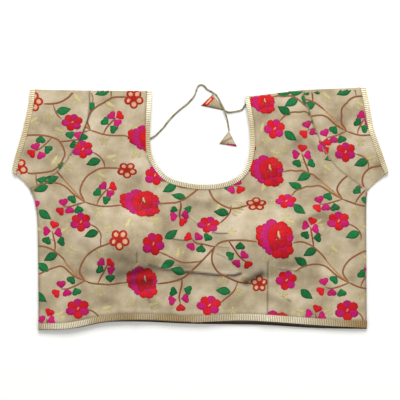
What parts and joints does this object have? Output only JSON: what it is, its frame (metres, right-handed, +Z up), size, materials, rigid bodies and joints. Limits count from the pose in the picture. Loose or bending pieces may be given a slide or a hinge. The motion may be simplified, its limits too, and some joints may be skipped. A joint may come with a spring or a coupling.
{
  "type": "padded blouse",
  "caption": "Short padded blouse laid flat, front up: round neck, short sleeves, moulded cups, braid trims and two neck strings.",
  "frame": {"origin": "centre of the laid-out garment's box, on the surface that it lies on", "axes": "+X to the right as seen from above, +Y towards the neck, +Z up out of the front"},
  "size_m": [0.5623, 0.3684, 0.0311],
  "materials": {
    "cloth": "beige art silk with satin-stitch flowers",
    "backing": "plain woven backing cloth",
    "foam": "foam cup with a knitted face",
    "braid": "pale gold metallic braid",
    "string": "cord rolled from the blouse's cloth"
  },
  "bodies": {
    "root": {"front": "cloth", "back_left": "cloth", "back_right": "cloth", "back_placket": "backing", "sleeve_left": "cloth", "sleeve_right": "cloth", "pad_left": "foam", "pad_right": "foam", "neck_braid_front": "braid", "neck_braid_back_left": "braid", "neck_braid_back_right": "braid", "hem_braid_front": "braid", "hem_braid_back_left": "braid", "hem_braid_back_right": "braid", "cuff_braid_left": "braid", "cuff_braid_right": "braid", "string_left": "string", "string_right": "string", "end_piece_left": "cloth", "end_piece_right": "cloth"}
  },
  "joints": []
}
